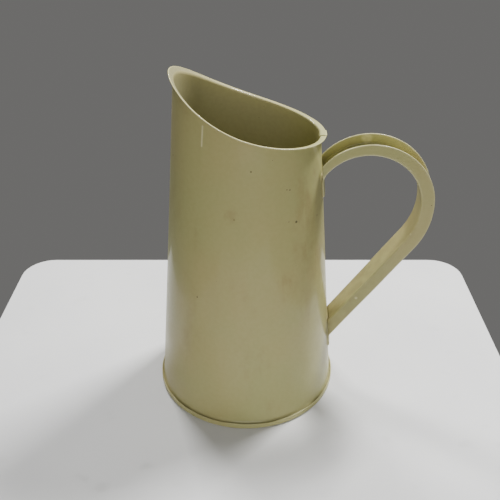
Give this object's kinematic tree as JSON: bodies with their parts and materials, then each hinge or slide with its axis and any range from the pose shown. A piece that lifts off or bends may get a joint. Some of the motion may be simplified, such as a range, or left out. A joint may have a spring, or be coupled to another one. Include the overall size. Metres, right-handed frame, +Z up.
{
  "type": "water jug",
  "caption": "Sheet-metal water jug with a tapered body, a scooped pouring mouth with a turned-out lip, and a side handle of folded channel.",
  "frame": {"origin": "centre of the foot ring, on the plane the jug stands on", "axes": "+Z up the body, +X towards the handle, -X towards the pouring tip, and the XZ plane through the handle and the pouring tip"},
  "size_m": [0.1727, 0.12, 0.2155],
  "materials": {
    "body_paint": "gloss khaki-cream paint over steel sheet, with faint vertical streaks, small chips and shallow dents",
    "base_paint": "gloss khaki-cream paint over steel sheet, worn on the edge it stands on",
    "handle_paint": "gloss khaki-cream paint over folded steel sheet, rubbed pale along the flange edges",
    "solder_inside": "soft solder under the same paint",
    "solder_outside": "soft solder under the same paint"
  },
  "bodies": {
    "root": {"body_wall": "body_paint", "base_disc": "base_paint", "handle_channel": "handle_paint", "side_seam_solder": "solder_inside", "base_seam_solder": "solder_inside", "upper_tab_solder": "solder_outside", "lower_tab_solder": "solder_outside"}
  },
  "joints": []
}
